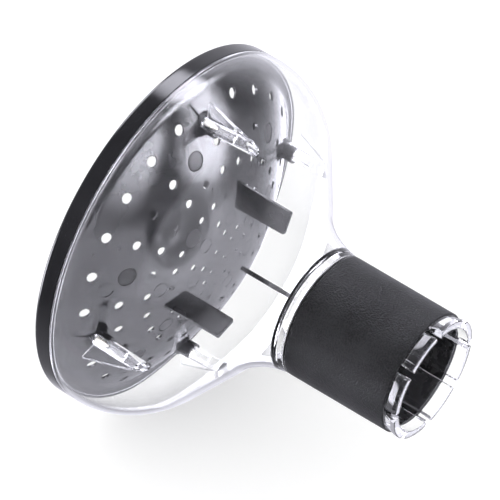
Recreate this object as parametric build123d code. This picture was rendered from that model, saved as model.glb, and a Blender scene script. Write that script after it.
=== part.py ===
from build123d import *
import math
import os

# Dryer diffuser. All dimensions in millimetres.
# Frame: +Y runs along the axis and out of the clamp's mouth, +Z is up.
# The origin is the centre of the clamp's gripping wall.
# Heights along the axis are counted from the seam between shell and bowl, then moved by CLAMP_Y.

CLAMP_Y = 115.0          # seam to the middle of the gripping wall
PHASE = -3.5             # turn of the bowl's 15 degree pattern about the axis

RIM_R = 82.5             # outside radius of bowl rim and shell
SHELL_WALL = 2.0
SHOULDER_Y = 18.6        # where the shell's side and cone would meet
SHOULDER_FILLET = 35.0
CONE_ANGLE = 52.96       # between the shell's cone and the axis
NECK_R = 27.45           # outside radius of the neck
NECK_FILLET = 35.5
NECK_END_Y = 75.0        # end of the visible neck band
BAND_Y = 72.2            # start of the visible neck band
TUBE_R = 24.6            # outside radius of the neck under the grip
DUCT_R = 22.4            # bore of the neck
TUBE_END_Y = 99.85

FOOT_R = 79.35           # inside radius of the shell's foot
FOOT_DROP = 0.85         # how far the foot reaches below the seam

POST_AXIS_R = 63.2       # post centre line from the axis
POST_ANGLES = (0.0, 102.0, 182.0, 282.0)
POST_R = 3.1
POST_TIP_R = 2.75
POST_Y = 7.95
PILOT_R = 1.5
PILOT_DEPTH = 15.0
FIN_REACH = 7.4          # how far a fin stands out of its post
FIN_LENGTH = 21.5
FIN_T = 1.2

DOME_R = 131.0           # back of the bowl, a shallow sphere
DOME_TOP_Y = 24.05
BOWL_WALL = 1.4
DOME_FOOT_FILLET = 10.0  # the dome runs into the flange in a soft hollow
FLANGE_T = 2.0
STEP_R = 79.2            # step that centres the shell's foot
STEP_DROP = 0.9
RIM_DEPTH = 8.8
RIM_T = 3.2

BLADE_ANGLES = (0.0, 120.0, 240.0)
BLADE_R0 = 23.2
BLADE_R1 = 34.4
BLADE_T = 2.0
BLADE_END_Y = 47.0

COLLAR_R = 4.2           # half-round seat behind each post
COLLAR_TOP_Y = 14.4
SEAT_CLEAR = 0.15

# rows of air holes: distance from the axis, hole radius, first angle, number of places, places left out
HOLE_ROWS = (
    (67.7, 2.20, 0.0, 24, (0, 105, 180, 285)),
    (54.4, 1.95, 0.0, 24, (30, 90, 150, 210, 270, 330)),
    (42.3, 1.70, 0.0, 24, ()),
    (30.7, 1.50, 0.0, 24, (0, 60, 120, 180, 240, 300)),
    (20.5, 1.45, 0.0, 12, (0, 60, 120, 240)),
    (13.6, 1.40, 60.0, 9, ()),
    (8.5, 1.25, 60.0, 5, ()),
    (0.0, 1.30, 0.0, 1, ()),
)
HOLE_FLARE = 0.5         # how much wider each hole is on the hair side

# prongs on the hair side, and ring marks on the back: distance from the axis, first angle, count
PRONGS = ((53.6, 30.0, 6), (28.8, 60.0, 3))
MARKS = ((61.2, 24.5, 6), (36.6, 57.5, 9), (19.2, 60.0, 7))
PRONG_R = 5.2
PRONG_TIP_R = 3.5
PRONG_TIP_Y = -10.0
PRONG_DISC_R = 4.2       # shallow disc behind each prong
MARK_R = 3.3
MARK_W = 0.3
MARK_DEPTH = 0.3

SCREW_R = 1.4
SCREW_HEAD_R = 2.8
SCREW_HEAD_T = 1.8
SCREW_LENGTH = 8.0
SCREW_PITCH = 1.1
SCREW_GROOVE = 0.3

FINGERS = 8
FINGER_PHASE = 30.0
FINGER_ARC = 38.0        # width of a finger in degrees
LIP_ARC = 36.0
FINGER_R = 23.25         # gripping radius
FINGER_OUT_R = 24.55
FINGER_MOUTH_R = 25.3
FINGER_Y0 = 100.15
FINGER_Y1 = 130.3
LIP_Y = 125.0
LIP_BACK_R = 25.8
LIP_TOP_Y = 128.35
LIP_R = 26.95

CORE_BORE_R = 24.95
CORE_MOUTH_R = 25.68
CORE_R = 26.25
CORE_FLANGE_R = 27.4
CORE_Y0 = 75.1
CORE_FLANGE_Y = 75.9
CORE_Y1 = 124.0

COVER_BORE_R = 26.35
COVER_BACK_R = 27.46
COVER_MOUTH_R = 27.12
COVER_Y0 = 76.0
COVER_Y1 = 124.5
COVER_EDGE = 0.45


def polar(radius, angle, y):
    a = math.radians(angle)
    return (radius * math.cos(a), y - CLAMP_Y, radius * math.sin(a))


def profile_plane():
    # sketches are drawn with the axis distance along x and the height along y
    return Plane(origin=(0, -CLAMP_Y, 0), x_dir=(1, 0, 0), z_dir=(0, 0, 1))


def turned(face):
    return revolve(profile_plane() * face, axis=Axis((0, 0, 0), (0, 1, 0)), revolution_arc=360)


def polygon(points):
    return make_face(Polyline(*points, close=True))


def rod(radius, y0, y1, centre=(0.0, 0.0), top_radius=None):
    # round bar along the axis, from y0 to y1, at centre (x, z)
    end = radius if top_radius is None else top_radius
    place = Plane(origin=(centre[0], y0 - CLAMP_Y, centre[1]), x_dir=(1, 0, 0), z_dir=(0, 1, 0))
    base = place * Circle(radius)
    top = place.offset(y1 - y0) * Circle(end)
    if abs(end - radius) < 1e-9:
        return extrude(base, amount=y1 - y0, dir=(0, 1, 0))
    return loft([base, top])


def spot(radius, angle):
    x, _, z = polar(radius, angle, 0.0)
    return (x, z)


def radial_plate(points, thickness, angle):
    # flat plate in a plane through the axis; points are (distance from axis, height)
    plate = extrude(profile_plane() * polygon(points), amount=thickness / 2, both=True)
    return plate.rotate(Axis((0, 0, 0), (0, 1, 0)), -angle)


def dome_height(radius, sphere_r):
    return DOME_TOP_Y - DOME_R + math.sqrt(sphere_r ** 2 - radius ** 2)


def shell_form(inset):
    # solid body of the bell, drawn a wall thickness smaller when inset is given
    slope = math.radians(CONE_ANGLE)
    shift = inset * math.tan(slope / 2)
    side = RIM_R - inset
    neck = NECK_R - inset
    y_shoulder = SHOULDER_Y - shift
    y_neck = y_shoulder + (side - neck) / math.tan(slope)
    corners = ((0, -5), (side, -5), (side, y_shoulder), (neck, y_neck), (neck, 100), (0, 100))
    face = polygon(corners)
    shoulder = face.vertices().sort_by_distance((side, y_shoulder, 0))[0]
    face = fillet(shoulder, SHOULDER_FILLET - inset)
    hollow = face.vertices().sort_by_distance((neck, y_neck, 0))[0]
    face = fillet(hollow, NECK_FILLET + inset)
    return turned(face)


def clear_shell():
    outside = shell_form(0.0) & rod(RIM_R + 5, 0.0, BAND_Y)
    inside = shell_form(SHELL_WALL) & rod(RIM_R + 5, -1.0, BAND_Y - 3.0)
    foot = turned(polygon((
        (FOOT_R, -FOOT_DROP), (RIM_R, -FOOT_DROP), (RIM_R, 1.0),
        (RIM_R - SHELL_WALL, 3.0), (FOOT_R, 1.0))))
    neck = turned(polygon((
        (DUCT_R, BAND_Y - 3.0), (NECK_R - 0.6, BAND_Y - 3.0), (NECK_R - 0.6, BAND_Y),
        (NECK_R, BAND_Y + 0.2), (NECK_R, NECK_END_Y - 0.3), (NECK_R - 0.3, NECK_END_Y),
        (TUBE_R, NECK_END_Y), (TUBE_R, TUBE_END_Y), (DUCT_R, TUBE_END_Y))))
    body = outside - inside - rod(DUCT_R, 40.0, 120.0) + foot + neck
    for angle in POST_ANGLES:
        turn = angle + PHASE
        centre = spot(POST_AXIS_R, turn)
        post = rod(POST_R, POST_Y, 45.0, centre, POST_TIP_R)
        fin = radial_plate((
            (POST_AXIS_R, POST_Y + 0.6), (POST_AXIS_R + POST_R + FIN_REACH, POST_Y + 0.6),
            (POST_AXIS_R + POST_TIP_R + 0.2, POST_Y + 0.6 + FIN_LENGTH),
            (POST_AXIS_R, POST_Y + 0.6 + FIN_LENGTH)), FIN_T, turn)
        body = body + ((post + fin) & shell_form(SHELL_WALL / 2))
        body = body - rod(PILOT_R, POST_Y - 1.0, POST_Y + PILOT_DEPTH, centre)
    return body


def bowl_form():
    front_r = DOME_R - BOWL_WALL
    middle_y = DOME_TOP_Y - DOME_R
    foot = math.sqrt(DOME_R ** 2 - middle_y ** 2)
    front_foot = math.sqrt(front_r ** 2 - (middle_y + FLANGE_T) ** 2)
    half = foot / 2
    back = ThreePointArc((0, DOME_TOP_Y), (half, dome_height(half, DOME_R)), (foot, 0))
    rim_in = RIM_R - RIM_T
    run = Polyline(
        (foot, 0), (STEP_R, 0), (STEP_R, -STEP_DROP), (RIM_R, -STEP_DROP), (RIM_R, -RIM_DEPTH),
        (rim_in, -RIM_DEPTH), (rim_in, -FLANGE_T), (front_foot, -FLANGE_T))
    front = ThreePointArc(
        (front_foot, -FLANGE_T), (half, dome_height(half, front_r)), (0, DOME_TOP_Y - BOWL_WALL))
    axis = Line((0, DOME_TOP_Y - BOWL_WALL), (0, DOME_TOP_Y))
    face = make_face([back, run, front, axis])
    rounds = (
        ((foot, 0), DOME_FOOT_FILLET), ((RIM_R, -RIM_DEPTH), 1.5), ((rim_in, -RIM_DEPTH), 1.4),
        ((rim_in, -FLANGE_T), 0.9), ((front_foot, -FLANGE_T), 6.0))
    for point, radius in rounds:
        corner = face.vertices().sort_by_distance((point[0], point[1], 0))[0]
        face = fillet(corner, radius)
    return turned(face)


def air_hole(radius, angle, hole_r):
    # tapered hole through the dome, square to its surface
    origin = (radius, dome_height(radius, DOME_R) - CLAMP_Y, 0)
    normal = (radius / DOME_R, math.cos(math.asin(radius / DOME_R)), 0)
    depth = BOWL_WALL + 1.0
    taper = HOLE_FLARE / BOWL_WALL
    tool = Cone(hole_r + taper * depth, hole_r - taper, depth + 1.0,
                align=(Align.CENTER, Align.CENTER, Align.MIN))
    placed = Plane(origin=origin, z_dir=normal) * Pos(0, 0, -depth) * tool
    return Rotation(0, -angle, 0) * placed


def below_sheet(depth):
    # everything above the surface that lies this far under the back of the dome
    sphere_r = DOME_R - depth
    top = DOME_TOP_Y - depth
    return turned(make_face([
        ThreePointArc((0, top), (35.0, dome_height(35.0, sphere_r)), (75.0, dome_height(75.0, sphere_r))),
        Polyline((75.0, dome_height(75.0, sphere_r)), (75.0, 60.0), (0, 60.0), (0, top))]))


def prong(centre, base_y, base_r, tip_r):
    # tapered finger towards the hair with a round tip
    stem_end = PRONG_TIP_Y + tip_r
    stem = rod(tip_r, stem_end, base_y, centre, base_r)
    ball = Pos(centre[0], stem_end - CLAMP_Y, centre[1]) * Sphere(tip_r)
    return stem + ball


def bowl():
    body = bowl_form()
    below_dome = turned(make_face([
        ThreePointArc(
            (0, DOME_TOP_Y - 0.6), (35.0, dome_height(35.0, DOME_R - 0.6)),
            (75.0, dome_height(75.0, DOME_R - 0.6))),
        Polyline((75.0, dome_height(75.0, DOME_R - 0.6)), (75.0, -40.0), (0, -40.0),
                 (0, DOME_TOP_Y - 0.6))]))
    prongs = []
    for radius, start, count in PRONGS:
        for i in range(count):
            centre = spot(radius, PHASE + start + i * 360 / count)
            prongs.append(prong(centre, DOME_TOP_Y, PRONG_R, PRONG_TIP_R))
    body = body + [stem & below_dome for stem in prongs]

    extras = []
    for angle in POST_ANGLES:
        turn = angle + PHASE
        centre = spot(POST_AXIS_R, turn)
        pad = rod(COLLAR_R, 2.0, POST_Y - 0.05, centre)
        collar = rod(COLLAR_R, 4.0, COLLAR_TOP_Y, centre)
        mouth = radial_plate((
            (POST_AXIS_R, POST_Y - 0.05), (POST_AXIS_R + 12, POST_Y - 0.05),
            (POST_AXIS_R + 12, 30.0), (POST_AXIS_R, 30.0)), 30.0, turn)
        extras.append(pad + (collar - mouth))
    for angle in BLADE_ANGLES:
        extras.append(radial_plate((
            (BLADE_R0, 20.5), (BLADE_R1, 18.5), (BLADE_R1 - 0.9, BLADE_END_Y),
            (BLADE_R0, BLADE_END_Y)), BLADE_T, angle + PHASE))
    body = body + extras

    cuts = []
    for angle in POST_ANGLES:
        centre = spot(POST_AXIS_R, angle + PHASE)
        cuts.append(rod(POST_R + SEAT_CLEAR, POST_Y - 0.05, 30.0, centre))
        cuts.append(rod(SCREW_R + 0.15, -20.0, 30.0, centre))
        cuts.append(rod(SCREW_HEAD_R + 0.3, -20.0, POST_Y - 3.0, centre))
    for radius, hole_r, start, count, skip in HOLE_ROWS:
        for i in range(count):
            angle = start + i * 360 / count
            if round(angle) % 360 not in skip:
                cuts.append(air_hole(radius, angle + PHASE, hole_r))
    shallow = below_sheet(MARK_DEPTH)
    for radius, start, count in PRONGS:
        for i in range(count):
            centre = spot(radius, PHASE + start + i * 360 / count)
            cuts.append(rod(PRONG_DISC_R, -5.0, 50.0, centre) & shallow)
    for radius, start, count in MARKS:
        for i in range(count):
            centre = spot(radius, PHASE + start + i * 360 / count)
            ring = rod(MARK_R + MARK_W, -5.0, 50.0, centre) - rod(MARK_R, -6.0, 51.0, centre)
            cuts.append(ring & shallow)
    return body - cuts


def housing_screw(angle):
    centre = spot(POST_AXIS_R, angle + PHASE)
    head_y = POST_Y - 3.0
    shank = rod(SCREW_R, head_y, head_y + SCREW_LENGTH, centre)
    tip = rod(SCREW_R, head_y + SCREW_LENGTH, head_y + SCREW_LENGTH + 1.5, centre, 0.3)
    head = rod(SCREW_HEAD_R * 0.8, head_y - SCREW_HEAD_T, head_y, centre, SCREW_HEAD_R)
    screw = shank + tip + head
    grooves = []
    y = head_y + 3.4
    while y < head_y + SCREW_LENGTH - 0.6:
        band = rod(SCREW_R + 1.0, y, y + SCREW_PITCH * 0.5, centre)
        grooves.append(band - rod(SCREW_R - SCREW_GROOVE, y - 1, y + 2, centre))
        y += SCREW_PITCH
    slot_base = head_y - SCREW_HEAD_T
    place = Pos(centre[0], slot_base - CLAMP_Y, centre[1])
    cross = place * Box(3.0, 1.6, 0.7) + place * Box(0.7, 1.6, 3.0)
    return screw - grooves - cross


def wedge(arc, angle, y0, y1):
    # sector used to trim a ring to one finger's width
    half = math.radians(arc / 2)
    reach = 60.0
    place = Plane(origin=(0, y0 - CLAMP_Y, 0), x_dir=(1, 0, 0), z_dir=(0, 1, 0))
    side = reach * math.tan(half)
    sector = make_face(Polyline((0, 0), (reach, side), (reach, -side), close=True))
    solid = extrude(place * sector, amount=y1 - y0, dir=(0, 1, 0))
    return solid.rotate(Axis((0, 0, 0), (0, 1, 0)), -angle)


def collet_finger(index):
    angle = PHASE + FINGER_PHASE + index * 360 / FINGERS
    stem = turned(polygon((
        (FINGER_R, FINGER_Y0), (FINGER_OUT_R, FINGER_Y0), (FINGER_OUT_R, FINGER_Y0 + 6.0),
        (FINGER_MOUTH_R, LIP_Y - 6.0), (FINGER_MOUTH_R, FINGER_Y1 - 0.5),
        (FINGER_MOUTH_R - 0.5, FINGER_Y1), (FINGER_R + 0.6, FINGER_Y1),
        (FINGER_R, FINGER_Y1 - 0.6))))
    lip = turned(polygon((
        (FINGER_MOUTH_R - 0.8, LIP_Y), (LIP_BACK_R, LIP_Y), (LIP_R, LIP_TOP_Y),
        (LIP_R, FINGER_Y1 - 0.25), (LIP_R - 0.25, FINGER_Y1), (FINGER_MOUTH_R - 0.8, FINGER_Y1))))
    stem = stem & wedge(FINGER_ARC, angle, 90, 140)
    lip = lip & wedge(LIP_ARC, angle, 90, 140)
    return stem + lip


def clamp_core():
    return turned(polygon((
        (CORE_BORE_R, CORE_Y0), (CORE_FLANGE_R - 0.25, CORE_Y0), (CORE_FLANGE_R, CORE_Y0 + 0.25),
        (CORE_FLANGE_R, CORE_FLANGE_Y), (CORE_R, CORE_FLANGE_Y), (CORE_R, CORE_Y1 - 0.2),
        (CORE_R - 0.2, CORE_Y1), (CORE_MOUTH_R + 0.1, CORE_Y1), (CORE_MOUTH_R, CORE_Y1 - 0.3),
        (CORE_MOUTH_R, CORE_Y1 - 6.0), (CORE_BORE_R, FINGER_Y0 + 6.0))))


def grip_cover():
    face = polygon((
        (COVER_BORE_R, COVER_Y0), (COVER_BACK_R, COVER_Y0),
        (COVER_MOUTH_R, COVER_Y1), (COVER_BORE_R, COVER_Y1)))
    for point in ((COVER_BACK_R, COVER_Y0), (COVER_MOUTH_R, COVER_Y1)):
        corner = face.vertices().sort_by_distance((point[0], point[1], 0))[0]
        face = fillet(corner, COVER_EDGE)
    return turned(face)


def save(name, shape):
    shape.label = name
    export_step(shape, "parts/" + name + ".step")
    print(name, round(shape.volume), len(shape.solids()), shape.is_valid)


os.makedirs("parts", exist_ok=True)
save("clear_shell", clear_shell())
save("bowl", bowl())
for number, post_angle in enumerate(POST_ANGLES, start=1):
    save("housing_screw_" + str(number), housing_screw(post_angle))
for number in range(FINGERS):
    save("collet_finger_" + str(number + 1), collet_finger(number))
save("clamp_core", clamp_core())
save("grip_cover", grip_cover())
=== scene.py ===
import math

import bpy
import bmesh
from mathutils import Matrix, Vector
from mathutils.geometry import delaunay_2d_cdt


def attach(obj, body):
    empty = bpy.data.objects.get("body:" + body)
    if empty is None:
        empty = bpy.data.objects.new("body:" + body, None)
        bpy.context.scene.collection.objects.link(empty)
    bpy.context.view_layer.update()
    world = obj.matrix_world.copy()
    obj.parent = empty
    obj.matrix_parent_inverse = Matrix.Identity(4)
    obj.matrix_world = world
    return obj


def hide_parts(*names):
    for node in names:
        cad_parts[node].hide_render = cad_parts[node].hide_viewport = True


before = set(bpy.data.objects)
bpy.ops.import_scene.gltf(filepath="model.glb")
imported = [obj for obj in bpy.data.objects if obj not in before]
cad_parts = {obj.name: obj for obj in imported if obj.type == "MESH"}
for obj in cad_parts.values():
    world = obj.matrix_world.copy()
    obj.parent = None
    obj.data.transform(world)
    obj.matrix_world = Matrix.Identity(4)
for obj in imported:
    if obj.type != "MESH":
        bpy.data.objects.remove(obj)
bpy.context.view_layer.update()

# Lengths below are in millimetres, heights are counted from the seam, as in the CAD.
MM = 0.001
CLAMP_Y = 115.0
PHASE = -3.5
RIM_R = 82.5
POST_AXIS_R = 63.2
POST_ANGLES = (0.0, 102.0, 182.0, 282.0)
POST_Y = 7.95
POST_R = 3.1
POST_TIP_R = 2.75
COLLAR_R = 4.2
BLADE_ANGLES = (0.0, 120.0, 240.0)
DOME_R = 131.0
DOME_TOP = 24.05
BOWL_WALL = 1.4
SHEET_R = 72.4           # the domed sheet ends here, where the hollow to the flange starts
HOLE_ROWS = (            # (radius, hole radius, first angle, count, angles left out)
    (67.7, 2.20, 0.0, 24, (0, 105, 180, 285)),
    (54.4, 1.95, 0.0, 24, (30, 90, 150, 210, 270, 330)),
    (42.3, 1.70, 0.0, 24, ()),
    (30.7, 1.50, 0.0, 24, (0, 60, 120, 180, 240, 300)),
    (20.5, 1.45, 0.0, 12, (0, 60, 120, 240)),
    (13.6, 1.40, 60.0, 9, ()),
    (8.5, 1.25, 60.0, 5, ()),
    (0.0, 1.30, 0.0, 1, ()),
)
HOLE_FLARE = 0.5         # the holes are wider on the hair side
HOLE_SOFT = 0.22         # radius of the rounding at both ends of a hole
HOLE_STEPS = 28
GRID_PITCH = 2.4         # spacing of the points that fill the sheet between its outlines
PRONGS = ((53.6, 30.0, 6), (28.8, 60.0, 3))             # (radius, first angle, count)
MARKS = ((61.2, 24.5, 6), (36.6, 57.5, 9), (19.2, 60.0, 7))
PRONG_TIP_Y = -10.0
PRONG_ROOT_R = 5.1
PRONG_TIP_R = 3.5
PRONG_FLARE = 1.2
DISC_R = 4.2
DISC_SUNK = 0.2
MARK_SUNK = 0.26
BLADE_THICK = 2.0
FLANGE_R = 79.2
LIP_Y = -8.8             # the rim's edge towards the hair
SHELL_WALL = 2.0
POST_DEPTH = 1.1         # how far the posts and fins reach into the shell's wall
NECK_TOP_Y = 75.0
SLEEVE_R = 24.6          # the neck goes on at this radius under the grip
SLEEVE_TOP_Y = 99.85
DUCT_R = 22.4
FINGERS = 8
FINGER_IN_R = 23.25
FINGER_OUT_R = 25.3
FINGER_ROOT_Y = 100.15
FINGER_TIP_Y = 130.3
FINGER_ARC = 19.0        # half the width of a finger, in degrees
HOOK = 1.65
TURNS = 256              # steps round the big turned shapes
SMALL_TURNS = 48         # and round the posts, prongs and discs
SHARP = 38.0             # edges over this angle stay crisp, in degrees
BEVEL_ANGLE = 30.0

# Strengths of the mirrored studio, and of the plain white that everything else sees.
TABLE_LIGHT = 3.8
TABLE_FAR_LIGHT = 0.9
SIDE_LIGHT = 4.0
ROOM_LIGHT = 1.6
FAR_LIGHT = 0.8
CARD_LIGHT = 13.0
KEY_LIGHT = 19.0
DIM_LIGHT = 0.25
WHITE_LIGHT = 1.1
STUDIO_TINT = (0.985, 0.98, 1.09)
# Soft lights on the near side as (direction, start, end, strength): grip and rim, two for the hooks
# of the fingers, one for their ends, and one that is seen through the neck.
NEAR_LIGHTS = (
    ((-0.618, -0.398, 0.678), 0.97, 0.996, 8.0),
    ((-0.36, -0.82, 0.44), 0.955, 0.985, 9.0),
    ((0.54, -0.81, -0.23), 0.955, 0.985, 12.0),
    ((-0.517, 0.398, -0.758), 0.985, 0.997, 4.0),
    ((0.0, 1.0, 0.0), 0.86, 0.97, 1.0),
)

VIEW_RIGHT = Vector((-0.6103, 0.7921, 0.0)).normalized()
VIEW_FORWARD = Vector((-0.5170, -0.3983, -0.7577)).normalized()
VIEW_UP = VIEW_RIGHT.cross(VIEW_FORWARD).normalized()
VIEW_FROM = (0.6105, 0.3930, 0.9088)
VIEW_LENS = 208.17


def place(radius, angle, y):
    """point at a radius from the axis and a height over the seam, in metres."""
    return Vector((radius * math.cos(angle) * MM, (y - CLAMP_Y) * MM, radius * math.sin(angle) * MM))


def spot(radius, degrees):
    """(x, z) in millimetres of a place seen along the axis."""
    a = math.radians(degrees + PHASE)
    return radius * math.cos(a), radius * math.sin(a)


# ---------------------------------------------------------------- mesh helpers

def fillet_line(points, steps=10, closed=True):
    """points are (r, y) or (r, y, fillet radius); returns the outline with its corners rounded."""
    out = []
    count = len(points)
    for i, p in enumerate(points):
        radius = p[2] if len(p) > 2 else 0.0
        here = Vector(p[:2])
        if radius <= 0 or (not closed and i in (0, count - 1)):
            out.append(here)
            continue
        a = (Vector(points[i - 1][:2]) - here)
        b = (Vector(points[(i + 1) % count][:2]) - here)
        half = a.angle(b) / 2
        reach = radius / math.tan(half)
        reach = min(reach, a.length * 0.999, b.length * 0.999)
        radius = reach * math.tan(half)
        centre = here + (a.normalized() + b.normalized()).normalized() * (radius / math.sin(half))
        start = here + a.normalized() * reach - centre
        end = here + b.normalized() * reach - centre
        sweep = start.angle_signed(end)
        bits = max(2, round(steps * abs(sweep) / 1.6))
        for k in range(bits + 1):
            turn = -sweep * k / bits
            c, s = math.cos(turn), math.sin(turn)
            out.append(centre + Vector((start.x * c - start.y * s, start.x * s + start.y * c)))
    return out


def densify(line, longest, closed=True):
    """the same outline with no stretch longer than longest."""
    out = []
    count = len(line)
    for i in range(count if closed else count - 1):
        a, b = line[i], line[(i + 1) % count]
        bits = max(1, math.ceil((b - a).length / longest))
        out += [a.lerp(b, k / bits) for k in range(bits)]
    if not closed:
        out.append(line[-1])
    return out


def lathe(bm, line, turns=TURNS, centre=None):
    """closed outline turned about the axis, or about a line parallel to it through centre (x, z)."""
    rings = []
    for p in line:
        if p.x < 1e-6:
            if centre is None:
                v = bm.verts.new(place(0, 0, p.y))
            else:
                v = bm.verts.new((centre[0] * MM, (p.y - CLAMP_Y) * MM, centre[1] * MM))
            rings.append([v])
            continue
        ring = []
        for k in range(turns):
            a = 2 * math.pi * k / turns
            co = place(p.x, a, p.y)
            if centre is not None:
                co += Vector((centre[0] * MM, 0, centre[1] * MM))
            ring.append(bm.verts.new(co))
        rings.append(ring)
    for i in range(len(rings)):
        a, b = rings[i], rings[(i + 1) % len(rings)]
        if len(a) == 1 and len(b) == 1:
            continue
        for k in range(turns):
            n = (k + 1) % turns
            if len(a) == 1:
                bm.faces.new((a[0], b[n], b[k]))
            elif len(b) == 1:
                bm.faces.new((a[k], a[n], b[0]))
            else:
                bm.faces.new((a[k], a[n], b[n], b[k]))


def bridge(bm, a, b, count):
    """faces between the first count points of two rings."""
    for k in range(count):
        n = (k + 1) % count
        bm.faces.new((a[k], a[n], b[n], b[k]))


def close_slices(bm, slices):
    """skin over a row of sections, with both ends closed; the first section sets the count."""
    for a, b in zip(slices, slices[1:]):
        bridge(bm, a, b, len(slices[0]))
    bm.faces.new(slices[0])
    bm.faces.new(list(reversed(slices[-1])))


def mark_sharp(bm, degrees):
    limit = math.radians(degrees)
    for e in bm.edges:
        if len(e.link_faces) == 2 and e.calc_face_angle(0.0) > limit:
            e.smooth = False


def finish_mesh(bm, name, sharp=SHARP):
    bmesh.ops.recalc_face_normals(bm, faces=bm.faces)
    mesh = bpy.data.meshes.new(name)
    for f in bm.faces:
        f.smooth = True
    mark_sharp(bm, sharp)
    bm.to_mesh(mesh)
    bm.free()
    obj = bpy.data.objects.new(name, mesh)
    bpy.context.scene.collection.objects.link(obj)
    return obj


def lathed(name, points, steps, longest):
    bm = bmesh.new()
    lathe(bm, densify(fillet_line(points, steps), longest))
    return finish_mesh(bm, name)


def slab(bm, outline, thickness, degrees):
    """flat plate in the plane of the axis at an angle; outline is (r, y) points."""
    a = math.radians(degrees + PHASE)
    across = Vector((-math.sin(a), 0, math.cos(a))) * MM
    sides = []
    for side in (-0.5, 0.5):
        sides.append([bm.verts.new(place(p.x, a, p.y) + across * (thickness * side))
                      for p in outline])
    low, high = sides
    bm.faces.new(list(reversed(low)))
    bm.faces.new(high)
    bridge(bm, low, high, len(outline))


def join(name, objects):
    """one mesh from several, made without operators so that nothing depends on selection."""
    bm = bmesh.new()
    for o in objects:
        bm.from_mesh(o.data)
    mesh = bpy.data.meshes.new(name)
    bm.to_mesh(mesh)
    bm.free()
    for o in objects:
        bpy.data.objects.remove(o)
    obj = bpy.data.objects.new(name, mesh)
    bpy.context.scene.collection.objects.link(obj)
    return obj


def applied(obj):
    """replaces obj's mesh with its modifiers' result."""
    bpy.context.view_layer.update()
    dg = bpy.context.evaluated_depsgraph_get()
    mesh = bpy.data.meshes.new_from_object(obj.evaluated_get(dg))
    obj.modifiers.clear()
    obj.data = mesh
    return obj


def bevelled(obj, width, segments):
    m = obj.modifiers.new("bevel", "BEVEL")
    m.width = width * MM
    m.segments = segments
    m.limit_method = "ANGLE"
    m.angle_limit = math.radians(BEVEL_ANGLE)
    return applied(obj)


# ---------------------------------------------------------------- clear shell

SLOPE = math.radians(52.96)
SHOULDER_Y = 18.6
SHOULDER_ROUND = 35.0
HOLLOW_ROUND = 35.5
NECK_R = 27.45
SEAM_R = 79.35
SEAM_Y = -0.85


def bell_corners(inset):
    """corners of the bell's wall as (r, y, fillet radius): the shoulder, and the hollow above it."""
    shift = inset * math.tan(SLOPE / 2)
    side, neck = RIM_R - inset, NECK_R - inset
    y0 = SHOULDER_Y - shift
    return ((side, y0, SHOULDER_ROUND - inset),
            (neck, y0 + (side - neck) / math.tan(SLOPE), HOLLOW_ROUND + inset))


def bell_line(inset):
    """the bell's wall at a depth inside it, as (r, y) from the seam to the neck."""
    shoulder, hollow = bell_corners(inset)
    ends = (RIM_R - inset, 0.0), (NECK_R - inset, 110.0)
    return fillet_line((ends[0], shoulder, hollow, ends[1]), 60, False)


def height_at(line, radius):
    """height of a wall line where it reaches radius; the line's radius falls as it rises."""
    for a, b in zip(line, line[1:]):
        if b.x <= radius <= a.x and a.x - b.x > 1e-9:
            return a.y + (b.y - a.y) * (a.x - radius) / (a.x - b.x)
    return line[0].y


def trimmed(line, y0, y1):
    return [p for p in line if y0 <= p.y <= y1]


outer = trimmed(bell_line(0.0), 0.5, 72.0)
inner = trimmed(bell_line(SHELL_WALL), 0.6, 69.0)
foot = [(SEAM_R, 0.0), (SEAM_R, SEAM_Y, 0.15), (RIM_R, SEAM_Y, 0.2), (RIM_R, 0.4)]
neck = [(27.85, 72.2), (27.46, 72.25), (NECK_R, 72.6), (NECK_R, NECK_TOP_Y, 0.35),
        (SLEEVE_R, NECK_TOP_Y, 0.2), (SLEEVE_R, SLEEVE_TOP_Y, 0.2), (DUCT_R, SLEEVE_TOP_Y, 0.3),
        (DUCT_R, 70.0, 0.6), (25.5, 69.4)]
shell_line = fillet_line(foot, 8, False) + outer + fillet_line(neck, 8, False)
shell_line += list(reversed(inner))
shell_line += [Vector((80.5, 0.35)), Vector((80.4, 0.1)), Vector((80.15, 0.0))]
bm = bmesh.new()
lathe(bm, densify(shell_line, 2.5))
shell = finish_mesh(bm, "shell_bell", 30)

mid_wall = bell_line(POST_DEPTH)


def post(index, degrees):
    """hollow screw post; its tip follows the inside of the bell."""
    cx, cz = spot(POST_AXIS_R, degrees)
    bm = bmesh.new()

    def ring(radius, y):
        """y is None where the ring lies on the bell's wall."""
        out = []
        for k in range(SMALL_TURNS):
            a = 2 * math.pi * k / SMALL_TURNS
            x, z = cx + radius * math.cos(a), cz + radius * math.sin(a)
            h = height_at(mid_wall, math.hypot(x, z)) if y is None else y
            out.append(bm.verts.new((x * MM, (h - CLAMP_Y) * MM, z * MM)))
        return out

    levels = [(1.5, 22.9), (1.5, POST_Y + 0.3), (1.7, POST_Y + 0.05), (1.8, POST_Y),
              (POST_R - 0.2, POST_Y), (POST_R - 0.06, POST_Y + 0.06), (POST_R, POST_Y + 0.2),
              (2.95, 19.0), (2.82, 26.0), (POST_TIP_R, None), (1.4, None)]
    rings = [ring(r, y) for r, y in levels]
    tip = bm.verts.new((cx * MM, (23.6 - CLAMP_Y) * MM, cz * MM))
    crown = bm.verts.new((cx * MM, (height_at(mid_wall, POST_AXIS_R) - CLAMP_Y) * MM, cz * MM))
    for a, b in zip(rings, rings[1:]):
        bridge(bm, a, b, SMALL_TURNS)
    for k in range(SMALL_TURNS):
        n = (k + 1) % SMALL_TURNS
        bm.faces.new((tip, rings[0][n], rings[0][k]))
        bm.faces.new((crown, rings[-1][k], rings[-1][n]))
    return finish_mesh(bm, "post_%d" % index, 40)


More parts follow.
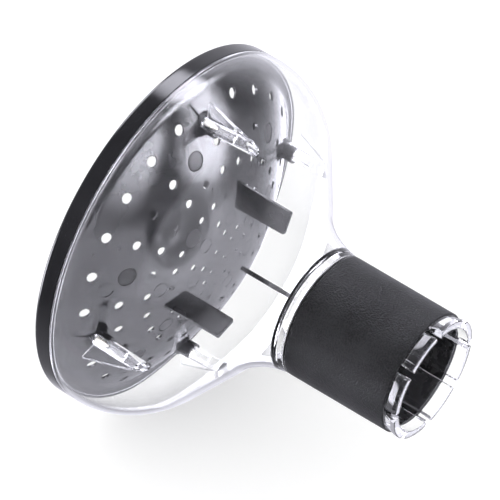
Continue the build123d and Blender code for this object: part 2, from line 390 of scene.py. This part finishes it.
def fin(index, degrees):
    """thin triangle on the outer side of a post."""
    base = POST_Y + 0.6
    top = base + 21.5
    outline = fillet_line(((POST_AXIS_R + 2.6, base), (POST_AXIS_R + 10.7, base, 0.5),
                           (POST_AXIS_R + 3.0, top, 3.0), (POST_AXIS_R + 2.3, top)), 6)
    bm = bmesh.new()
    slab(bm, outline, 1.2, degrees)
    bmesh.ops.recalc_face_normals(bm, faces=bm.faces)
    return bevelled(finish_mesh(bm, "fin_%d" % index, 30), 0.22, 2)


clear_bits = [shell]
for n, degrees in enumerate(POST_ANGLES, start=1):
    clear_bits += [post(n, degrees), fin(n, degrees)]
shell = join("shell_clear", clear_bits)

# ---------------------------------------------------------------- black bowl

CENTRE_Y = DOME_TOP - DOME_R


def dome_height(r):
    return CENTRE_Y + math.sqrt(DOME_R ** 2 - r * r)


class DomeSpot:
    """a place on the dome, with directions for drawing round it square to the surface."""

    def __init__(self, radius, degrees):
        a = math.radians(degrees + PHASE)
        lean = math.asin(radius / DOME_R)
        c, s = math.cos(lean), math.sin(lean)
        self.out = Vector((s * math.cos(a), c, s * math.sin(a)))
        self.first = Vector((c * math.cos(a), -s, c * math.sin(a)))
        self.second = self.out.cross(self.first)
        self.plan = Vector((self.out.x, self.out.z)) * DOME_R

    def around(self, radius, turn, depth=0.0):
        """point at a distance from the spot and a depth under the back, from the dome's centre."""
        side = self.first * math.cos(turn) + self.second * math.sin(turn)
        return (self.out * DOME_R + side * radius).normalized() * (DOME_R - depth)


def vertex(bm, p):
    """p is a point counted from the dome's centre."""
    return bm.verts.new((p.x * MM, (p.y + CENTRE_Y - CLAMP_Y) * MM, p.z * MM))


holes = []
for radius, hole_r, start, count, skip in HOLE_ROWS:
    for i in range(count):
        angle = start + i * 360 / count
        if round(angle) % 360 not in skip:
            holes.append((DomeSpot(radius, angle), hole_r))


def spread(rows):
    return [DomeSpot(r, start + i * 360 / count) for r, start, count in rows for i in range(count)]


discs = spread(PRONGS)
marks = spread(MARKS)


def flat_pattern():
    """outlines on the dome seen along the axis, with a fill of points between them."""
    points, edges, kinds = [], [], []

    def circle(place_on, radius, count, kind):
        start = len(points)
        for k in range(count):
            p = place_on.around(radius, 2 * math.pi * k / count)
            points.append(Vector((p.x, p.z)))
            kinds.append(kind)
            edges.append((start + k, start + (k + 1) % count))

    start = len(points)
    for k in range(TURNS):
        a = 2 * math.pi * k / TURNS
        points.append(Vector((SHEET_R * math.cos(a), SHEET_R * math.sin(a))))
        kinds.append(("edge", 0))
        edges.append((start + k, start + (k + 1) % TURNS))
    clear = []
    for n, (at, radius) in enumerate(holes):
        wide = radius + HOLE_FLARE + HOLE_SOFT
        circle(at, wide, HOLE_STEPS, ("hole", n))
        clear.append((at.plan, wide + 0.8))
    for at in marks:
        for radius, depth in ((3.22, 0.0), (3.32, MARK_SUNK), (3.56, MARK_SUNK), (3.66, 0.0)):
            circle(at, radius, 40, ("sunk", depth))
        clear.append((at.plan, 4.4))
    for at in discs:
        circle(at, DISC_R + 0.12, 48, ("sunk", 0.0))
        for radius in (DISC_R, DISC_R - 0.8, DISC_R - 2.2):
            circle(at, radius, 48 if radius > 3 else 24, ("sunk", 0.3))
        clear.append((at.plan, DISC_R + 0.9))
    row_pitch = GRID_PITCH * 0.866
    rows = int(SHEET_R / row_pitch) + 1
    for j in range(-rows, rows + 1):
        z = j * row_pitch
        for i in range(-40, 41):
            p = Vector(((i + 0.5 * (j % 2)) * GRID_PITCH, z))
            if p.length > SHEET_R - 1.4 or any((p - c).length < r for c, r in clear):
                continue
            points.append(p)
            kinds.append(("grid", 0))
    flat, _, faces, origin, _, _ = delaunay_2d_cdt(points, edges, [], 0, 1e-7)
    return flat, faces, [kinds[o[0]] if o else ("grid", 0) for o in origin]


def bowl_sheet(bm):
    """back and front of the dome with its holes; returns the rims of both and their normals."""
    flat, faces, kinds = flat_pattern()
    loops = {}
    for i, kind in enumerate(kinds):
        if kind[0] == "hole":
            loops.setdefault(kind[1], []).append(i)
    kept = []
    for f in faces:
        # a face whose corners all lie on one hole's edge is the hole itself
        owners = {kinds[i][1] if kinds[i][0] == "hole" else None for i in f}
        if len(owners) > 1 or None in owners:
            kept.append(f)
    directions = [Vector((p.x, math.sqrt(DOME_R ** 2 - p.length_squared), p.y)) / DOME_R
                  for p in flat]
    normals = {}
    sides = []
    for depth, sign in ((0.0, 1), (BOWL_WALL, -1)):
        verts = []
        for d, kind in zip(directions, kinds):
            sunk = kind[1] if kind[0] == "sunk" and sign > 0 else 0.0
            v = vertex(bm, d * (DOME_R - depth - sunk))
            normals[v] = d * sign
            verts.append(v)
        for f in kept:
            bm.faces.new([verts[i] for i in (f if sign < 0 else reversed(f))])
        sides.append(verts)
    back, front = sides
    for n, (at, radius) in enumerate(holes):
        ids = loops[n]
        turns = [2 * math.pi * k / len(ids) for k in range(len(ids))]
        # the outline's points kept their order, so its first two give all of them
        starts = []
        for turn in turns[:2]:
            p = at.around(radius + HOLE_FLARE + HOLE_SOFT, turn)
            here = Vector((p.x, p.z))
            starts.append(min(ids, key=lambda i: (flat[i] - here).length))
        ids = [starts[0] + (starts[1] - starts[0]) * k for k in range(len(ids))]
        stack = [[back[i] for i in ids]]
        levels = [(radius + HOLE_SOFT, 0.0)]
        for t in (30, 60, 90):
            c, d = math.cos(math.radians(t)), math.sin(math.radians(t))
            levels.append((radius + HOLE_SOFT * (1 - d), HOLE_SOFT * (1 - c)))
        wide = radius + HOLE_FLARE
        for t in (90, 60, 30):
            c, d = math.cos(math.radians(t)), math.sin(math.radians(t))
            levels.append((wide + HOLE_SOFT * (1 - d), BOWL_WALL - HOLE_SOFT * (1 - c)))
        for ring_r, depth in levels:
            ring = [vertex(bm, at.around(ring_r, t, depth)) for t in turns]
            if depth == 0.0:
                for v, t in zip(ring, turns):
                    normals[v] = at.around(ring_r, t).normalized()
            stack.append(ring)
        stack.append([front[i] for i in ids])
        for a, b in zip(stack, stack[1:]):
            for k in range(len(ids)):
                m = (k + 1) % len(ids)
                bm.faces.new((a[k], b[k], b[m], a[m]))
    rim = sorted((i for i, k in enumerate(kinds) if k[0] == "edge"),
                 key=lambda i: math.atan2(flat[i].y, flat[i].x))
    return [back[i] for i in rim], [front[i] for i in rim], normals


def rim_line():
    """flange and rim as (r, y), from the back of the sheet's edge round to its front."""
    foot = math.sqrt(DOME_R ** 2 - CENTRE_Y ** 2)
    front_foot = math.sqrt((DOME_R - BOWL_WALL) ** 2 - (CENTRE_Y + 2.0) ** 2)
    edge = (SHEET_R, dome_height(SHEET_R))
    scale = (DOME_R - BOWL_WALL) / DOME_R
    front_edge = (SHEET_R * scale, (edge[1] - CENTRE_Y) * scale + CENTRE_Y)
    band_y, band_in_r, floor_y = -0.9, 79.3, -2.0
    return fillet_line((
        edge, (foot, 0.0, 9.3), (FLANGE_R, 0.0, 0.2), (FLANGE_R, band_y, 0.1), (RIM_R, band_y, 0.3),
        (RIM_R, LIP_Y, 1.6), (band_in_r, LIP_Y, 1.3), (band_in_r, floor_y, 0.9),
        (front_foot, floor_y, 6.0), front_edge), 12, False)


def bowl_body():
    """the sheet joined to its rim, with exact normals on the sheet so that its gloss is smooth."""
    bm = bmesh.new()
    back_rim, front_rim, normals = bowl_sheet(bm)
    line = densify(rim_line(), 2.0, False)
    angles = [math.atan2(v.co.z, v.co.x) for v in back_rim]
    previous = back_rim
    count = len(back_rim)
    for p in line[1:-1]:
        ring = [bm.verts.new(place(p.x, a, p.y)) for a in angles]
        for k in range(count):
            n = (k + 1) % count
            bm.faces.new((previous[k], ring[k], ring[n], previous[n]))
        previous = ring
    for k in range(count):
        n = (k + 1) % count
        bm.faces.new((previous[k], front_rim[k], front_rim[n], previous[n]))
    bmesh.ops.recalc_face_normals(bm, faces=bm.faces)
    for f in bm.faces:
        f.smooth = True
    mark_sharp(bm, SHARP)
    bm.verts.index_update()
    wanted = {v.index: n for v, n in normals.items()}
    mesh = bpy.data.meshes.new("bowl_body")
    bm.to_mesh(mesh)
    bm.free()
    auto = Vector((0, 0, 0))
    loop_normals = []
    for poly in mesh.polygons:
        for li in poly.loop_indices:
            n = wanted.get(mesh.loops[li].vertex_index)
            loop_normals.append(n if n is not None and n.dot(poly.normal) > 0.97 else auto)
    mesh.normals_split_custom_set(loop_normals)
    obj = bpy.data.objects.new("bowl_body", mesh)
    bpy.context.scene.collection.objects.link(obj)
    return obj


def prong(bm, at):
    """prong towards the hair; its root follows the dome and stays inside the sheet."""
    root = dome_height(at.plan.length)
    line = fillet_line((
        (0.0, PRONG_TIP_Y), (PRONG_TIP_R, PRONG_TIP_Y, PRONG_TIP_R * 0.96),
        (PRONG_ROOT_R - 0.1, root - PRONG_FLARE * 3, PRONG_FLARE), (PRONG_ROOT_R + PRONG_FLARE, root),
        (0.0, root)), 12, False)
    rings = []
    for p in line:
        ring = []
        for k in range(SMALL_TURNS if p.x > 1e-6 else 1):
            a = 2 * math.pi * k / SMALL_TURNS
            x, z = at.plan.x + p.x * math.cos(a), at.plan.y + p.x * math.sin(a)
            y = min(p.y, dome_height(math.hypot(x, z)) - BOWL_WALL * 0.7)
            ring.append(bm.verts.new((x * MM, (y - CLAMP_Y) * MM, z * MM)))
        rings.append(ring)
    for a, b in zip(rings, rings[1:]):
        for k in range(SMALL_TURNS):
            n = (k + 1) % SMALL_TURNS
            if len(a) == 1:
                bm.faces.new((a[0], b[n], b[k]))
            elif len(b) == 1:
                bm.faces.new((a[k], a[n], b[0]))
            else:
                bm.faces.new((a[k], a[n], b[n], b[k]))


def disc(bm, at):
    """matt disc that closes the back of a prong, a little below the gloss round it."""
    bottom = 0.6
    levels = ((DISC_R - 0.02, bottom), (DISC_R - 0.02, DISC_SUNK + 0.06), (DISC_R - 0.12, DISC_SUNK),
              (DISC_R - 1.0, DISC_SUNK), (DISC_R - 2.4, DISC_SUNK))
    turns = [2 * math.pi * k / SMALL_TURNS for k in range(SMALL_TURNS)]
    rings = [[vertex(bm, at.around(r, t, depth)) for t in turns] for r, depth in levels]
    top = vertex(bm, at.around(0.0, 0.0, DISC_SUNK))
    low = vertex(bm, at.around(0.0, 0.0, bottom))
    for a, b in zip(rings, rings[1:]):
        bridge(bm, a, b, SMALL_TURNS)
    for k in range(SMALL_TURNS):
        n = (k + 1) % SMALL_TURNS
        bm.faces.new((top, rings[-1][k], rings[-1][n]))
        bm.faces.new((low, rings[0][n], rings[0][k]))


def seat(bm, degrees):
    """pad under a post and the half-round collar behind it."""
    cx, cz = spot(POST_AXIS_R, degrees)
    pad_low, pad_high, ledge, head_r, hole_r = 2.0, 7.9, 4.95, 3.1, 1.55
    pad = fillet_line(((head_r, pad_low, 0.2), (COLLAR_R, pad_low, 0.4), (COLLAR_R, pad_high, 0.2),
                       (hole_r, pad_high), (hole_r, ledge), (head_r, ledge)), 6)
    lathe(bm, pad, 56, (cx, cz))
    out_angle = math.radians(degrees + PHASE)
    inside, low, high = POST_R + 0.15, 3.0, 14.4
    section = fillet_line(((inside, low), (COLLAR_R, low), (COLLAR_R, high, 0.35),
                           (inside, high, 0.25)), 6)
    turns = 30
    slices = []
    for k in range(turns + 1):
        a = out_angle + math.pi / 2 + math.pi * k / turns
        slices.append([bm.verts.new(((cx + p.x * math.cos(a)) * MM, (p.y - CLAMP_Y) * MM,
                                     (cz + p.x * math.sin(a)) * MM)) for p in section])
    close_slices(bm, slices)


bowl_mesh = bowl_body()
bm = bmesh.new()
for at in discs:
    disc(bm, at)
disc_caps = finish_mesh(bm, "prong_discs", 40)
bm = bmesh.new()
for at in discs:
    prong(bm, at)
for degrees in POST_ANGLES:
    seat(bm, degrees)
bits = finish_mesh(bm, "bowl_fittings", 40)
blade_outline = fillet_line(((23.2, 20.8), (34.4, 18.6), (33.5, 47.0, 0.8), (23.2, 47.0, 0.8)), 5)
blades = []
for degrees in BLADE_ANGLES:
    bm = bmesh.new()
    slab(bm, blade_outline, BLADE_THICK, degrees)
    bmesh.ops.recalc_face_normals(bm, faces=bm.faces)
    blades.append(bevelled(finish_mesh(bm, "blade", 30), 0.3, 3))
blades = join("air_blades", blades)

# ---------------------------------------------------------------- screws


def screw(index, degrees):
    cx, cz = spot(POST_AXIS_R, degrees)
    bm = bmesh.new()
    head_y = POST_Y - 3.0
    shank_r, head_r = 1.12, 2.8
    shank = fillet_line(((0.0, head_y - 1.0), (shank_r, head_y - 1.0), (shank_r, head_y + 8.0),
                         (0.35, head_y + 9.4, 0.2), (0.0, head_y + 9.5)), 4, False)
    lathe(bm, shank, 28, (cx, cz))
    # pan head with a round recess
    head = fillet_line(((0.0, head_y - 1.1), (0.5, head_y - 1.1), (0.9, head_y - 1.8),
                        (1.8, head_y - 1.8, 0.9), (head_r, head_y - 0.9, 0.6),
                        (head_r, head_y, 0.1), (0.0, head_y)), 6, False)
    lathe(bm, head, 36, (cx, cz))
    # thread: a ridge that climbs the shank
    steps, pitch, length, ridge = 24, 1.1, 5.6, 0.30
    total = int(length / pitch * steps)
    rows = []
    for k in range(total + 1):
        a = 2 * math.pi * k / steps
        y = head_y + 2.2 + pitch * k / steps
        fade = min(1.0, k / steps, (total - k) / steps)
        crest = shank_r + ridge * fade
        row = []
        for r, dy in ((1.05, -0.42), (crest, -0.05), (crest, 0.05), (1.05, 0.42)):
            row.append(bm.verts.new(((cx + r * math.cos(a)) * MM, (y + dy - CLAMP_Y) * MM,
                                     (cz + r * math.sin(a)) * MM)))
        rows.append(row)
    close_slices(bm, rows)
    return finish_mesh(bm, "screw_%d" % index, 35)


# ---------------------------------------------------------------- collet fingers


def finger(index):
    """spring finger with a hook at its tip; the hook fades out toward the finger's sides."""
    mid = math.radians(PHASE + 30.0 + 360.0 / FINGERS * index)
    steps, fade = 40, 1.2
    root_r, hook_y = 24.55, 125.0
    bm = bmesh.new()
    slices = []
    for k in range(steps + 1):
        turn = -FINGER_ARC + 2 * FINGER_ARC * k / steps
        lift = min(1.0, max(0.0, (FINGER_ARC - abs(turn)) / fade))
        hook_r = FINGER_OUT_R + HOOK * lift + 0.002
        line = fillet_line((
            (FINGER_IN_R, FINGER_ROOT_Y, 0.15), (root_r, FINGER_ROOT_Y, 0.15),
            (root_r, FINGER_ROOT_Y + 6.0), (FINGER_OUT_R, 119.0), (FINGER_OUT_R, hook_y),
            (FINGER_OUT_R + 0.5 * lift + 0.001, hook_y + 0.05, 0.12), (hook_r, hook_y + 3.35, 0.4),
            (hook_r, FINGER_TIP_Y, 0.35), (FINGER_IN_R + 0.1, FINGER_TIP_Y, 0.5)), 5)
        slices.append([bm.verts.new(place(p.x, mid + math.radians(turn), p.y)) for p in line])
    close_slices(bm, slices)
    return finish_mesh(bm, "finger_%d" % (index + 1), 35)


# ---------------------------------------------------------------- grip and core

CORE_LOW_Y = NECK_TOP_Y + 0.1
CORE_LIP_Y = CORE_LOW_Y + 0.8
CORE_IN_R = 24.95
CORE_MOUTH_R = 25.68
CORE_OUT_R = 26.25
CORE_LIP_R = 27.4
CORE_TOP_Y = 124.0
GRIP_IN_R = 26.35
GRIP_LOW_Y = 76.0
GRIP_TOP_Y = 124.5

core = lathed("core_sleeve", (
    (CORE_IN_R, CORE_LOW_Y, 0.2), (CORE_LIP_R, CORE_LOW_Y, 0.25), (CORE_LIP_R, CORE_LIP_Y, 0.15),
    (CORE_OUT_R, CORE_LIP_Y), (CORE_OUT_R, CORE_TOP_Y, 0.15), (CORE_MOUTH_R, CORE_TOP_Y, 0.15),
    (CORE_MOUTH_R, 118.0), (CORE_IN_R, 106.15)), steps=6, longest=3.0)
grip = lathed("grip_sleeve", (
    (GRIP_IN_R, GRIP_LOW_Y, 0.15), (27.46, GRIP_LOW_Y, 0.5), (27.12, GRIP_TOP_Y, 0.5),
    (GRIP_IN_R, GRIP_TOP_Y, 0.2)), steps=8, longest=2.0)

# ---------------------------------------------------------------- materials


def material(name):
    m = bpy.data.materials.new(name)
    m.use_nodes = True
    tree = m.node_tree
    return m, tree, tree.nodes["Principled BSDF"]


def link_or_set(tree, socket, value):
    if isinstance(value, (int, float)):
        socket.default_value = value
    else:
        tree.links.new(value, socket)


def object_coordinates(tree):
    return tree.nodes.new("ShaderNodeTexCoord").outputs["Object"]


def noise(tree, scale, detail):
    n = tree.nodes.new("ShaderNodeTexNoise")
    n.inputs["Scale"].default_value = scale
    n.inputs["Detail"].default_value = detail
    tree.links.new(object_coordinates(tree), n.inputs["Vector"])
    return n.outputs["Fac"]


def mapped(tree, value, low, high, from_low=0.3, from_high=0.7):
    """value stretched from one range to another; the middle of a noise by default."""
    n = tree.nodes.new("ShaderNodeMapRange")
    n.inputs["From Min"].default_value = from_low
    n.inputs["From Max"].default_value = from_high
    n.inputs["To Min"].default_value = low
    n.inputs["To Max"].default_value = high
    tree.links.new(value, n.inputs["Value"])
    return n.outputs["Result"]


def two_tone(tree, value, first, second):
    n = tree.nodes.new("ShaderNodeValToRGB")
    n.color_ramp.elements[0].position = 0.35
    n.color_ramp.elements[0].color = (*first, 1)
    n.color_ramp.elements[1].position = 0.65
    n.color_ramp.elements[1].color = (*second, 1)
    tree.links.new(value, n.inputs["Fac"])
    return n.outputs["Color"]


def bump(tree, height, strength, distance, chain=None):
    """chain is the normal of a coarser bump below this one."""
    n = tree.nodes.new("ShaderNodeBump")
    n.inputs["Strength"].default_value = strength
    n.inputs["Distance"].default_value = distance
    tree.links.new(height, n.inputs["Height"])
    if chain is not None:
        tree.links.new(chain, n.inputs["Normal"])
    return n.outputs["Normal"]


def maths_in(tree, operation, *values):
    n = tree.nodes.new("ShaderNodeMath")
    n.operation = operation
    for socket, value in zip(n.inputs, values):
        link_or_set(tree, socket, value)
    return n.outputs["Value"]


def finish(tree, shader, colour, roughness, normal):
    tree.links.new(colour, shader.inputs["Base Color"])
    tree.links.new(roughness, shader.inputs["Roughness"])
    tree.links.new(normal, shader.inputs["Normal"])


def clear_plastic():
    m, tree, shader = material("clear polycarbonate")
    shader.inputs["Transmission Weight"].default_value = 1.0
    shader.inputs["IOR"].default_value = 1.5
    tint = two_tone(tree, noise(tree, 18.0, 2.0), (0.985, 0.987, 0.99), (0.995, 0.996, 0.998))
    finish(tree, shader, tint, mapped(tree, noise(tree, 90.0, 4.0), 0.0, 0.02),
           bump(tree, noise(tree, 30.0, 1.0), 0.03, 0.0001))
    return m


def gloss_black():
    m, tree, shader = material("gloss black plastic")
    shader.inputs["IOR"].default_value = 1.52
    colour = two_tone(tree, noise(tree, 60.0, 4.0), (0.011, 0.011, 0.013), (0.017, 0.017, 0.020))
    roughness = mapped(tree, noise(tree, 140.0, 5.0), 0.10, 0.17)
    flow = bump(tree, noise(tree, 14.0, 1.0), 0.03, 0.0002)
    finish(tree, shader, colour, roughness, bump(tree, noise(tree, 900.0, 2.0), 0.04, 0.0001, flow))
    return m


def smooth_black(name, low, high, level):
    """low and high bound the roughness, level is the strength of the gloss."""
    m, tree, shader = material(name)
    shader.inputs["Specular IOR Level"].default_value = level
    colour = two_tone(tree, noise(tree, 80.0, 3.0), (0.012, 0.012, 0.013), (0.020, 0.020, 0.022))
    finish(tree, shader, colour, mapped(tree, noise(tree, 160.0, 4.0), low, high),
           bump(tree, noise(tree, 500.0, 3.0), 0.08, 0.0001))
    return m


def grained_black():
    m, tree, shader = material("grained black plastic")
    shader.inputs["Specular IOR Level"].default_value = 0.36
    cells = tree.nodes.new("ShaderNodeTexVoronoi")
    cells.feature = "SMOOTH_F1"
    cells.inputs["Scale"].default_value = 1500.0
    cells.inputs["Smoothness"].default_value = 0.6
    tree.links.new(object_coordinates(tree), cells.inputs["Vector"])
    fine = noise(tree, 2600.0, 3.0)
    wide = noise(tree, 45.0, 4.0)
    speckle = maths_in(tree, "MULTIPLY_ADD", cells.outputs["Distance"], 0.5, wide)
    speckle = mapped(tree, speckle, 0.2, 0.8, 0.45, 1.0)
    colour = two_tone(tree, speckle, (0.009, 0.009, 0.0105), (0.029, 0.029, 0.033))
    grain = bump(tree, cells.outputs["Distance"], 0.7, 0.0004)
    finish(tree, shader, colour, mapped(tree, fine, 0.38, 0.54),
           bump(tree, fine, 0.3, 0.00012, grain))
    return m


def screw_metal():
    m, tree, shader = material("zinc plate")
    shader.inputs["Metallic"].default_value = 1.0
    colour = two_tone(tree, noise(tree, 700.0, 3.0), (0.62, 0.60, 0.54), (0.78, 0.74, 0.64))
    finish(tree, shader, colour, mapped(tree, noise(tree, 1500.0, 3.0), 0.22, 0.4),
           bump(tree, noise(tree, 2500.0, 2.0), 0.1, 0.0001))
    return m


CLEAR, GLOSS, GRAIN, METAL = clear_plastic(), gloss_black(), grained_black(), screw_metal()
SMOOTH = smooth_black("smooth black plastic", 0.22, 0.34, 0.5)
SATIN = smooth_black("satin black plastic", 0.32, 0.4, 0.36)


def dress(obj, mat, slot_name, body, *nodes):
    obj.data.materials.clear()
    obj.data.materials.append(mat)
    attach(obj, body)
    if nodes:
        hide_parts(*nodes)


dress(shell, CLEAR, "clear_plastic", "housing", "clear_shell")
dress(bowl_mesh, GLOSS, "gloss_black", "housing", "bowl")
dress(bits, GLOSS, "gloss_black", "housing")
dress(blades, GLOSS, "gloss_black", "housing")
dress(disc_caps, SATIN, "smooth_black", "housing")
dress(core, SMOOTH, "smooth_black", "clamp_core", "clamp_core")
dress(grip, GRAIN, "grained_black", "grip_cover", "grip_cover")
for n, degrees in enumerate(POST_ANGLES, start=1):
    dress(screw(n, degrees), METAL, "screw_metal", "housing", "housing_screw_%d" % n)
for n in range(FINGERS):
    name = "collet_finger_%d" % (n + 1)
    dress(finger(n), CLEAR, "clear_plastic", name, name)

# ---------------------------------------------------------------- floor, light, camera

floor_mesh = bpy.data.meshes.new("floor")
half, level = 6.0, -RIM_R * MM - 0.0003
corners = ((-half, -half, level), (half, -half, level), (half, half, level), (-half, half, level))
floor_mesh.from_pydata(corners, [], [(0, 1, 2, 3)])
floor = bpy.data.objects.new("floor", floor_mesh)
bpy.context.scene.collection.objects.link(floor)
paper, paper_tree, paper_shader = material("studio paper")
paper_shader.inputs["Base Color"].default_value = (0.82, 0.82, 0.82, 1)
paper_shader.inputs["Roughness"].default_value = 0.9
paper_shader.inputs["Specular IOR Level"].default_value = 0.1
paper_shader.inputs["Emission Color"].default_value = (1, 1, 1, 1)
paper_shader.inputs["Emission Strength"].default_value = 0.4
floor.data.materials.append(paper)

world = bpy.data.worlds.new("studio")
bpy.context.scene.world = world
world.use_nodes = True
wt = world.node_tree
sky = wt.nodes["Background"]
sky.inputs["Strength"].default_value = 1.0
world.cycles.sampling_method = "NONE"
heading = wt.nodes.new("ShaderNodeTexCoord").outputs["Generated"]


def toward(vector):
    """how far a direction points along a vector."""
    n = wt.nodes.new("ShaderNodeVectorMath")
    n.operation = "DOT_PRODUCT"
    n.inputs[1].default_value = Vector(vector).normalized()
    wt.links.new(heading, n.inputs[0])
    return n.outputs["Value"]


def maths(operation, *values):
    return maths_in(wt, operation, *values)


def step(value, start, end):
    """one past the end, nothing before the start, and smooth between them."""
    n = wt.nodes.new("ShaderNodeMapRange")
    n.interpolation_type = "SMOOTHSTEP"
    n.inputs["From Min"].default_value = start
    n.inputs["From Max"].default_value = end
    wt.links.new(value, n.inputs["Value"])
    return n.outputs["Result"]


def mixed(factor, a, b):
    """a where the factor is nothing, b where it is one."""
    n = wt.nodes.new("ShaderNodeMix")
    n.data_type = "FLOAT"
    for name, value in (("Factor", factor), ("A", a), ("B", b)):
        link_or_set(wt, n.inputs[name], value)
    return n.outputs["Result"]


def blob(vector, start, end, strength):
    """round soft light in a direction."""
    return maths("MULTIPLY", step(toward(vector), start, end), strength)


def aimed(right_part, up_part, forward_part):
    return VIEW_RIGHT * right_part + VIEW_UP * up_part + VIEW_FORWARD * forward_part


across, height, depth = toward(VIEW_RIGHT), toward(VIEW_UP), toward(VIEW_FORWARD)

# What the bowl under the clear shell mirrors: a room that is darker above, a dark flag, a light card
# at the right, two soft boxes, and a white table below.
room = mixed(step(depth, 0.4, 0.9), ROOM_LIGHT, FAR_LIGHT)
room = maths("MULTIPLY", room, mixed(step(height, -0.05, 0.1), 1.0, 0.2))
room = mixed(step(across, 0.3, 0.8), SIDE_LIGHT, room)
flag = maths("SUBTRACT", step(depth, -0.32, -0.25), step(depth, -0.12, 0.05))
room = maths("MULTIPLY", room, mixed(maths("MULTIPLY", flag, step(across, 0.5, 0.8)), 1.0, 0.4))
card = maths("MULTIPLY", step(height, -0.6, -0.2), mixed(step(height, -0.12, 0.0), 1.0, 0.0))
card = maths("MULTIPLY", card, mixed(step(depth, -0.32, -0.24), CARD_LIGHT, 0.0))
inside = maths("ADD", room, maths("MULTIPLY", card, step(across, 0.3, 0.7)))
inside = maths("ADD", inside, blob(aimed(0.985, -0.09, 0.09), 0.962, 1.0, KEY_LIGHT))
inside = maths("ADD", inside, blob(aimed(0.98, 0.14, -0.02), 0.984, 0.994, CARD_LIGHT))
table = step(maths("MULTIPLY", toward(aimed(0.0, 1.0, -0.45)), -1.0), 0.395, 0.475)
inside = mixed(table, inside, mixed(step(depth, 0.1, 0.95), TABLE_LIGHT, TABLE_FAR_LIGHT))

# What all outer surfaces mirror: the white backdrop behind the object, and on the near side a dim
# room with small soft lights.
outside = mixed(step(depth, -0.1, 0.5), DIM_LIGHT, 1.0)
outside = maths("MULTIPLY", outside, mixed(step(height, -0.5, -0.1), 0.45, 1.0))
for light in NEAR_LIGHTS:
    outside = maths("ADD", outside, blob(*light))

# A ray from the bowl has gone through more than two faces of the shell. A ray that no gloss has
# turned sees plain white.
path = wt.nodes.new("ShaderNodeLightPath")
under_shell = step(path.outputs["Transmission Depth"], 2.2, 2.8)
mirrored = mixed(under_shell, outside, inside)
tinted = wt.nodes.new("ShaderNodeVectorMath")
tinted.operation = "SCALE"
tinted.inputs[0].default_value = STUDIO_TINT
wt.links.new(mirrored, tinted.inputs["Scale"])
blend = wt.nodes.new("ShaderNodeMix")
blend.data_type = "RGBA"
wt.links.new(path.outputs["Glossy Depth"], blend.inputs["Factor"])
blend.inputs["A"].default_value = (WHITE_LIGHT, WHITE_LIGHT, WHITE_LIGHT, 1.0)
wt.links.new(tinted.outputs["Vector"], blend.inputs["B"])
wt.links.new(blend.outputs["Result"], sky.inputs["Color"])
for obj in (floor, blades, core, grip):
    obj.visible_glossy = False
floor.visible_transmission = False

camera_data = bpy.data.cameras.new("camera")
camera = bpy.data.objects.new("camera", camera_data)
bpy.context.scene.collection.objects.link(camera)
camera_data.sensor_width = 36.0
camera_data.lens = VIEW_LENS
camera_data.clip_start = 0.05
camera_data.clip_end = 50.0
rows = [(VIEW_RIGHT[k], VIEW_UP[k], -VIEW_FORWARD[k], VIEW_FROM[k]) for k in range(3)]
camera.matrix_world = Matrix((*rows, (0, 0, 0, 1)))
scene = bpy.context.scene
scene.camera = camera
scene.view_settings.view_transform = "Standard"
scene.view_settings.look = "None"
scene.cycles.max_bounces = 24
scene.cycles.transmission_bounces = 20
scene.cycles.glossy_bounces = 8
scene.cycles.transparent_max_bounces = 12
